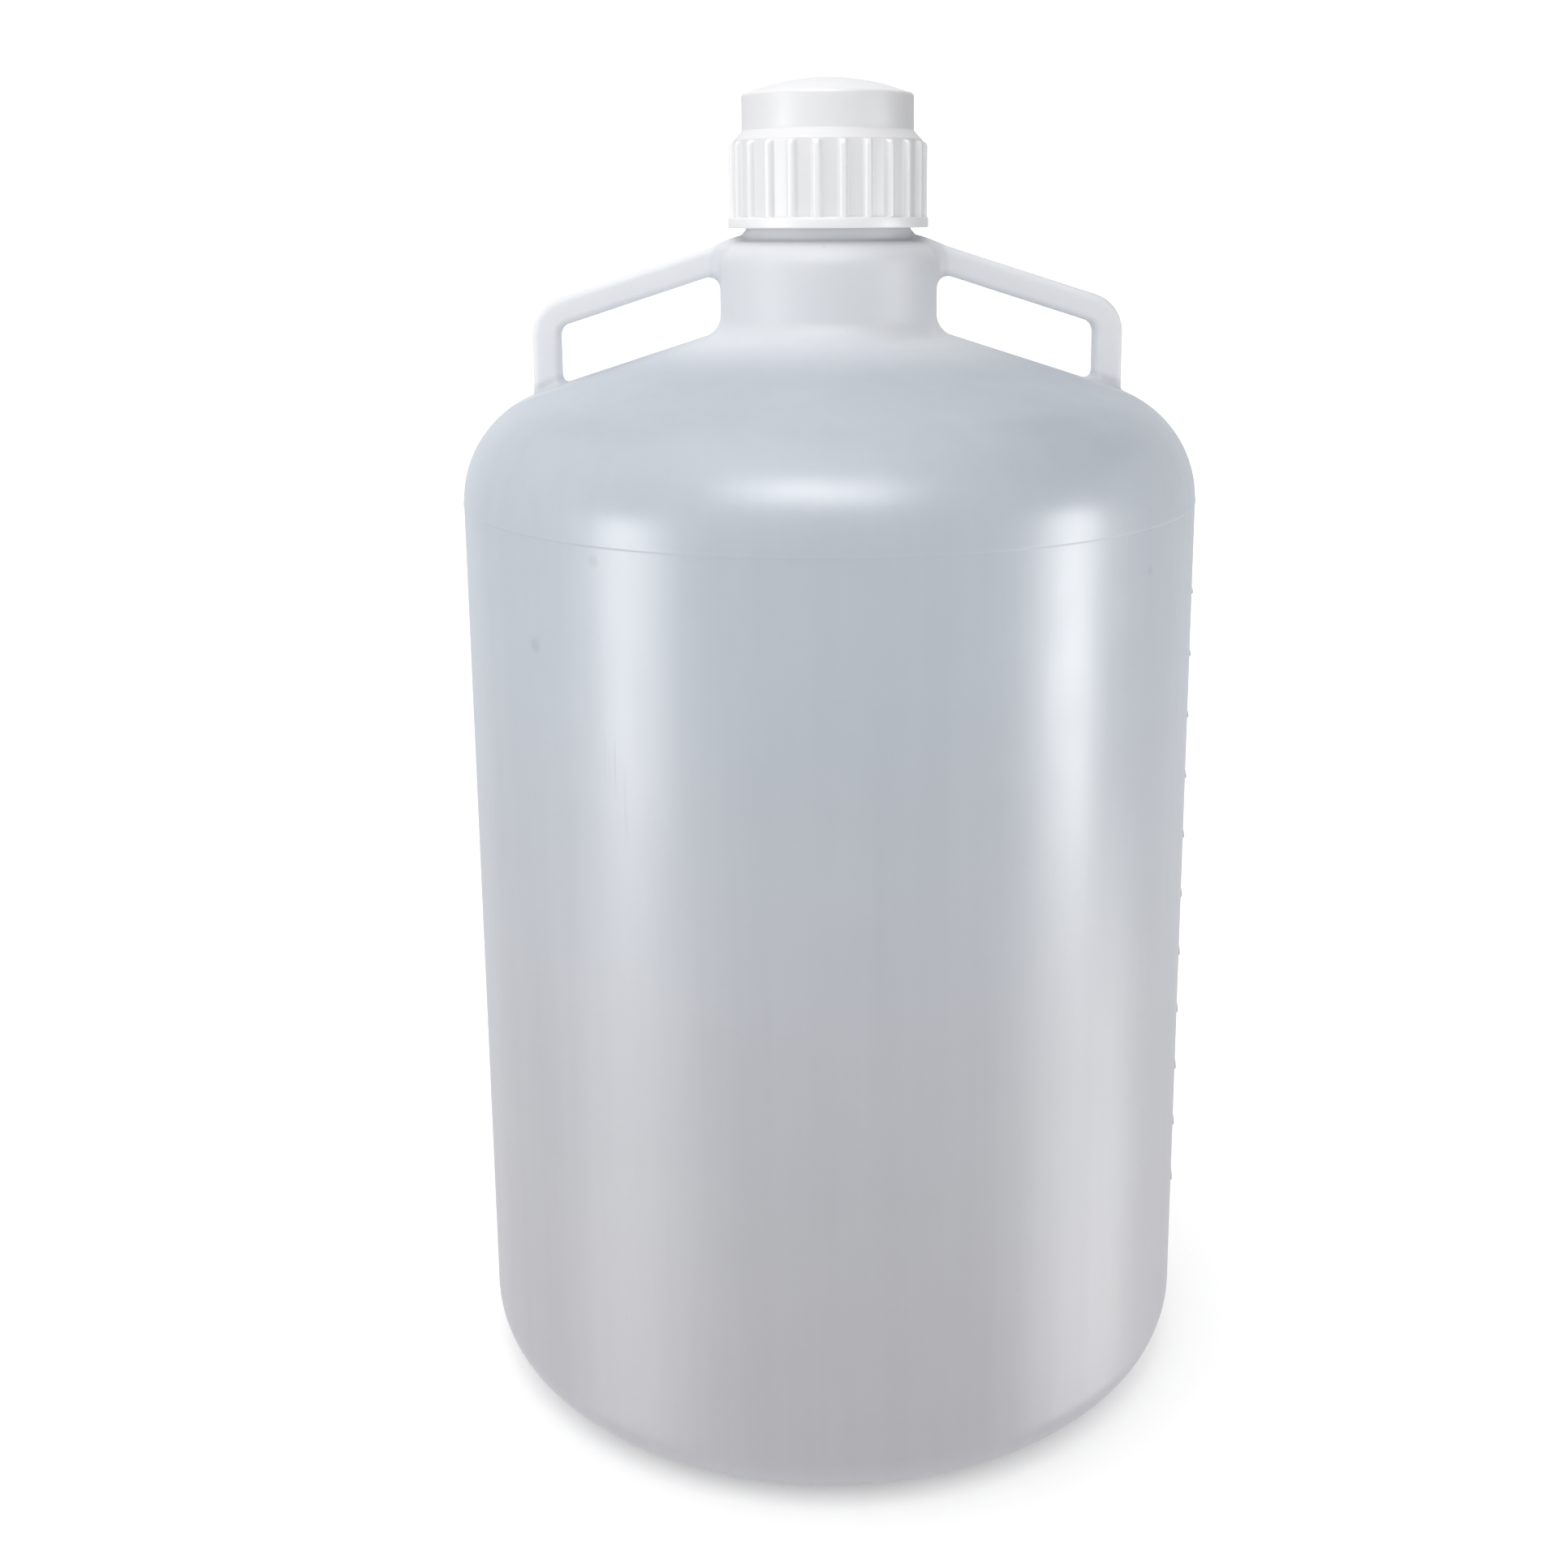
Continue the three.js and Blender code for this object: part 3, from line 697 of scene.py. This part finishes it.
class Paint:
    """A material being written: node() adds any node, the rest are the ones used often."""

    def __init__(self, name):
        self.material = bpy.data.materials.new(name)
        self.material.use_nodes = True
        self.tree = self.material.node_tree
        self.tree.nodes.clear()
        self.place = self.node("ShaderNodeTexCoord", {}, {}).outputs["Object"]

    def node(self, kind, settings, values):
        made = self.tree.nodes.new(kind)
        for key, value in settings.items():
            setattr(made, key, value)
        for key, value in values.items():
            source = value.socket if isinstance(value, Tone) else value
            if isinstance(source, bpy.types.NodeSocket):
                self.tree.links.new(source, made.inputs[key])
            else:
                made.inputs[key].default_value = source
        return made

    def tone(self, kind, settings, values, out=0):
        return Tone(self, self.node(kind, settings, values).outputs[out])

    def stretched(self, scale):
        return self.node("ShaderNodeMapping", {}, {"Vector": self.place, "Scale": scale}).outputs[0]

    def noise(self, scale, detail=2.0, roughness=0.5, along=None):
        return self.tone("ShaderNodeTexNoise", {}, {
            "Vector": self.stretched(along) if along else self.place,
            "Scale": scale, "Detail": detail, "Roughness": roughness})

    def cells(self, scale):
        return self.tone("ShaderNodeTexVoronoi", {}, {"Vector": self.place, "Scale": scale})

    def height(self):
        return self.tone("ShaderNodeSeparateXYZ", {}, {"Vector": self.place}, 2)

    def radius(self):
        flat = self.node("ShaderNodeVectorMath", {"operation": "MULTIPLY"},
                         {0: self.place, 1: (1.0, 1.0, 0.0)}).outputs[0]
        return self.tone("ShaderNodeVectorMath", {"operation": "LENGTH"}, {0: flat}, "Value")

    def mix(self, factor, first, second):
        made = self.node("ShaderNodeMix", {"data_type": "RGBA"}, {0: factor, 6: first, 7: second})
        return made.outputs[2]

    def bump(self, height, strength, distance):
        return self.node("ShaderNodeBump", {}, {"Strength": strength, "Distance": distance,
                                                "Height": height}).outputs[0]

    def finish(self, values):
        shader = self.node("ShaderNodeBsdfPrincipled", {}, values)
        self.node("ShaderNodeOutputMaterial", {}, {"Surface": shader.outputs[0]})
        return self.material


# natural polyethylene: the thin wall low down and high up, its clouds, and where it is solid; up the neck
# this whiter colour is partly painted light
LOW_WALL, HIGH_WALL = (0.455, 0.45, 0.475, 1), (0.475, 0.52, 0.575, 1)
CLOUD_DARK, CLOUD_LIGHT = (0.34, 0.36, 0.40, 1), (0.54, 0.55, 0.58, 1)
SOLID_AND_LIT = (0.81, 0.822, 0.852, 1)
FROST, SPECK = (0.9, 0.92, 0.95, 1), (0.33, 0.34, 0.37, 1)
# white polypropylene, its handling marks, and a painted highlight for the ribs' crests and the flange's
# edge
WHITE_LOW, WHITE_HIGH = (0.83, 0.832, 0.845, 1), (0.86, 0.86, 0.868, 1)
SCUFFED, CREST_HIGHLIGHT = (0.7, 0.7, 0.7, 1), (0.94, 0.94, 0.945, 1)


def natural_plastic():
    """Milky polyethylene: greyer where the wall is thin, whiter where it is thick, with cloudy
    flow, drag lines up the wall, a few dark specks and a satin skin. The whitening up the neck is
    partly its thicker plastic and partly painted light."""
    p = Paint("natural_polyethylene")
    thick = p.tone("ShaderNodeAttribute", {"attribute_name": "thick"}, {}, 2)
    cloud = p.noise(7.0, 3.0, 0.55)
    blotch = p.noise(31.0, 2.0)
    drag = p.noise(1.0, 3.0, 0.6, along=(70.0, 70.0, 2.2))
    high = p.height().ease(0.06, 0.47)
    wall = p.mix(high, LOW_WALL, HIGH_WALL)
    cloudy = p.mix((cloud - 0.5) * 0.9 + (blotch - 0.5) * 0.35 + 0.5, CLOUD_DARK, CLOUD_LIGHT)
    wall = p.mix(0.16, wall, cloudy)
    # whiter where the plastic is thick; up the neck this whitening is partly painted light
    colour = p.mix(thick, wall, SOLID_AND_LIT)
    colour = p.mix((drag - 0.5) * 0.1 + 0.03, colour, FROST)
    speck = (1 - p.cells(17.0).ease(0.035, 0.085)) * p.noise(5.0, 0.0).ease(0.5, 0.62)
    fleck = (1 - p.cells(61.0).ease(0.02, 0.06)) * p.noise(9.0, 0.0).ease(0.52, 0.66)
    colour = p.mix(speck * 0.32 + fleck * 0.2, colour, SPECK)
    scratch = p.noise(1.0, 2.0, 0.5, along=(620.0, 620.0, 9.0)).ease(0.66, 0.74)
    worn = p.noise(14.0, 1.0).ease(0.5, 0.7)
    skin = p.noise(420.0, 2.0)
    wave = p.noise(11.0, 1.0)
    height = wave + drag * 0.16 + skin * 0.03 - scratch * worn * 0.05
    # the satin skin scatters more of what it reflects at a glancing angle
    glancing = p.tone("ShaderNodeLayerWeight", {}, {"Blend": 0.5}, "Facing").ease(0.55, 0.95)
    return p.finish({
        "Base Color": colour,
        "Roughness": 0.34 + thick * 0.3 + (blotch - 0.5) * 0.1 + scratch * worn * 0.12
                     + glancing * 0.6,
        "IOR": 1.5,
        "Subsurface Weight": 0.35, "Subsurface Radius": (1.0, 0.95, 0.9), "Subsurface Scale": 0.006,
        "Normal": p.bump(height, 0.5, 0.0012),
    })


def white_plastic():
    """Glossy white polypropylene with faint moulding flow and fine handling marks, and a painted
    highlight that brightens the outermost surfaces, which are the crests of the ribs and the
    flange's edge."""
    p = Paint("white_polypropylene")
    flow = p.noise(24.0, 2.0)
    fine = p.noise(240.0, 2.0)
    scuff = p.noise(1.0, 3.0, 0.6, along=(300.0, 300.0, 40.0)).ease(0.62, 0.75)
    crest = p.radius().ease((SKIRT + 0.6) * MM, (SKIRT + 2.2) * MM)
    colour = p.mix(scuff * 0.12, p.mix(flow, WHITE_LOW, WHITE_HIGH), SCUFFED)
    # painted highlight: the crests of the ribs and the flange's edge are made brighter
    colour = p.mix(crest, colour, CREST_HIGHLIGHT)
    return p.finish({
        "Base Color": colour,
        "Roughness": 0.4 + (flow - 0.5) * 0.1 + scuff * 0.12,
        "IOR": 1.49,
        "Subsurface Weight": 0.1, "Subsurface Radius": (1.0, 1.0, 1.0), "Subsurface Scale": 0.002,
        "Normal": p.bump(flow * 0.5 + fine * 0.05, 0.35, 0.0006),
    })


def seal_rubber():
    """Off-white elastomer with a chalky bloom."""
    p = Paint("off_white_elastomer")
    bloom = p.noise(55.0, 3.0)
    grain = p.noise(900.0, 2.0)
    return p.finish({
        "Base Color": p.mix(bloom, (0.62, 0.61, 0.57, 1), (0.74, 0.73, 0.69, 1)),
        "Roughness": 0.7 + (bloom - 0.5) * 0.2,
        "Normal": p.bump(grain, 0.3, 0.0003),
    })


# ------------------------------------------------------------------ the object

for piece, body, nodes, slot in (
    (bottle(natural_plastic()), "bottle",
     ("bottle_body", "neck_finish", "handle_right", "handle_left"), "natural_plastic"),
    (closure(white_plastic()), "closure", ("closure_cap",), "white_plastic"),
    (gasket(seal_rubber()), "gasket", ("closure_gasket",), "seal_rubber"),
):
    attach(piece, body)
    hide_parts(*nodes)


# ------------------------------------------------------------------ floor, lights and camera

def flat_sheet(name, centre, half_across, half_up, material):
    """A flat rectangle round centre, as far as half_across and half_up each way, in metres."""
    u, v = np.meshgrid(np.linspace(-1, 1, 9), np.linspace(-1, 1, 9))
    points = np.array(centre) + u[..., None] * np.array(half_across) + v[..., None] * np.array(half_up)
    mesh = bpy.data.meshes.new(name)
    mesh.from_pydata(points.reshape(-1, 3).tolist(), [], grid_quads(*u.shape, False).tolist())
    mesh.materials.append(material)
    sheet = bpy.data.objects.new(name, mesh)
    bpy.context.scene.collection.objects.link(sheet)
    return sheet


def floor():
    """A wide pale sheet, level with the bottle's foot. What the camera sees of it is lifted
    towards white, so that only the shade close round the foot shows."""
    p = Paint("pale_paper")
    tooth = p.noise(60.0, 3.0)
    paper = {"Base Color": p.mix(tooth, (0.79, 0.79, 0.79, 1), (0.81, 0.81, 0.81, 1)),
             "Roughness": 0.9, "Specular IOR Level": 0.0}
    plain = p.node("ShaderNodeBsdfPrincipled", {}, paper)
    lifted = p.node("ShaderNodeBsdfPrincipled", {}, {
        **paper, "Emission Color": (1, 1, 1, 1), "Emission Strength": FLOOR_LIFT})
    path = p.node("ShaderNodeLightPath", {}, {})
    shown = p.node("ShaderNodeMixShader", {}, {
        0: path.outputs["Is Camera Ray"], 1: plain.outputs[0], 2: lifted.outputs[0]})
    p.node("ShaderNodeOutputMaterial", {}, {"Surface": shown.outputs[0]})
    drop, half = -0.0005, 12                    # just below the foot, so that the two never touch
    ground = flat_sheet("floor", (0, 0, drop), (half, 0, 0), (0, half, 0), p.material)
    ground.visible_glossy = False
    ground.visible_shadow = False


def lamp(name, place, aim, size, power, sheen_only):
    """A soft rectangular light at place, facing aim, size wide and tall in metres. A light that
    gives sheen only shows in the gloss and doesn't lift the colours."""
    data = bpy.data.lights.new(name, "AREA")
    data.shape = "RECTANGLE"
    data.size, data.size_y = size
    data.energy = power
    made = bpy.data.objects.new(name, data)
    bpy.context.scene.collection.objects.link(made)
    back = (Vector(place) - Vector(aim)).normalized()
    made.matrix_world = Matrix.Translation(place) @ back.to_track_quat("Z", "Y").to_matrix().to_4x4()
    made.visible_diffuse = not sheen_only
    made.visible_transmission = not sheen_only
    made.visible_camera = False


def shade_card(name, side, distance, middle, half, grey):
    """A square card, out of the camera's sight, that keeps light off one side of the top."""
    material = Paint(name).finish({"Base Color": (grey, grey, grey, 1), "Roughness": 0.9})
    card = flat_sheet(name, around(side, distance, middle), around(side + 90, half, 0), (0, 0, half),
                      material)
    card.visible_camera = False


def around(azimuth, distance, z):
    """A point in the room: azimuth in degrees to the right of where the camera stands."""
    a = math.radians(azimuth) + VIEW_YAW
    return Vector((distance * math.sin(a), -distance * math.cos(a), z))


def room():
    """An even pale room, dimmer towards one side in front and behind the bottle. What the camera
    and the gloss see of it has its own level."""
    world = bpy.data.worlds.new("room")
    bpy.context.scene.world = world
    world.use_nodes = True
    tree = world.node_tree
    tree.nodes.clear()

    def node(kind, links, **settings):
        made = tree.nodes.new(kind)
        for key, value in settings.items():
            setattr(made, key, value)
        for key, source in links.items():
            if isinstance(source, bpy.types.NodeSocket):
                tree.links.new(source, made.inputs[key])
            else:
                made.inputs[key].default_value = source
        return made.outputs

    path, place = node("ShaderNodeLightPath", {}), node("ShaderNodeTexCoord", {})
    facing = node("ShaderNodeVectorMath", {0: place["Generated"], 1: around(DIM_SIDE, 1, 0)},
                  operation="DOT_PRODUCT")["Value"]
    behind = node("ShaderNodeMapRange", {"Value": facing, "From Min": -1, "From Max": ROOM_TURN,
                                         "To Min": ROOM_BEHIND})[0]

    def light(bright, dim):
        level = node("ShaderNodeMapRange", {"Value": facing, "From Min": ROOM_TURN,
                                            "To Min": bright, "To Max": dim})[0]
        level = node("ShaderNodeMath", {0: level, 1: behind}, operation="MULTIPLY")[0]
        return node("ShaderNodeBackground", {"Color": (1, 1, 1, 1), "Strength": level})[0]

    seen = node("ShaderNodeBackground", {"Color": (1, 1, 1, 1), "Strength": ROOM_SEEN})[0]
    shade = node("ShaderNodeMixShader", {0: path["Is Glossy Ray"], 1: light(*ROOM_LIGHT),
                                         2: light(*ROOM_SHEEN)})[0]
    shade = node("ShaderNodeMixShader", {0: path["Is Camera Ray"], 1: shade, 2: seen})[0]
    node("ShaderNodeOutputWorld", {0: shade})


FLOOR_LIFT = 0.27
ROOM_LIGHT, ROOM_SHEEN, ROOM_SEEN = (1.4, 0.66), (0.72, 0.5), 1.2  # bright side, dim side
DIM_SIDE, ROOM_BEHIND, ROOM_TURN = 20.0, 0.7, -0.3  # towards the dim side, behind, and between
VIEW_YAW = math.radians(-2.5)
VIEW_DISTANCE, VIEW_HEIGHT = 0.9345, 0.6011
VIEW_PITCH, VIEW_ROLL = math.radians(11.434), math.radians(-0.276)
VIEW_LENS, VIEW_SHIFT = 41.09, (-0.0293, -0.130)

floor()
room()
lamp("left_window", around(-59, 1.6, 0.3), (0, 0, 0.3), (0.46, 1.0), 17, True)
lamp("left_low", around(-62, 1.6, -0.8), (0, 0, -0.8), (1.0, 1.0), 7, True)
lamp("right_window", around(72.5, 1.6, 0.3), (0, 0, 0.3), (0.42, 1.0), 21, True)
lamp("right_low", around(82, 1.6, -0.8), (0, 0, -0.8), (1.3, 1.0), 13, True)
lamp("ceiling", around(-5, 1.4, 1.9), (0, 0, 0.5), (1.5, 0.7), 36, True)
lamp("overhead", around(-40, 0.6, 2.4), (0, 0, 0.3), (1.6, 1.6), 8, False)
shade_card("right_card", 88, 0.40, 0.86, 0.22, 0.03)
shade_card("near_card", 100, 0.17, 0.66, 0.08, 0.03)
shade_card("left_card", -100, 0.22, 0.69, 0.07, 0.2)

camera_data = bpy.data.cameras.new("camera")
camera_data.sensor_width = 36.0
camera_data.lens = VIEW_LENS
camera_data.shift_x, camera_data.shift_y = VIEW_SHIFT
camera_data.clip_start, camera_data.clip_end = 0.05, 50
camera = bpy.data.objects.new("camera", camera_data)
bpy.context.scene.collection.objects.link(camera)
forward = Vector((-math.sin(VIEW_YAW) * math.cos(VIEW_PITCH),
                  math.cos(VIEW_YAW) * math.cos(VIEW_PITCH), -math.sin(VIEW_PITCH)))
stand = around(0, VIEW_DISTANCE, VIEW_HEIGHT)
turned = forward.to_track_quat("-Z", "Y").to_matrix().to_4x4()
camera.matrix_world = Matrix.Translation(stand) @ turned @ Matrix.Rotation(VIEW_ROLL, 4, "Z")
bpy.context.scene.camera = camera
bpy.context.scene.view_settings.view_transform = "Standard"
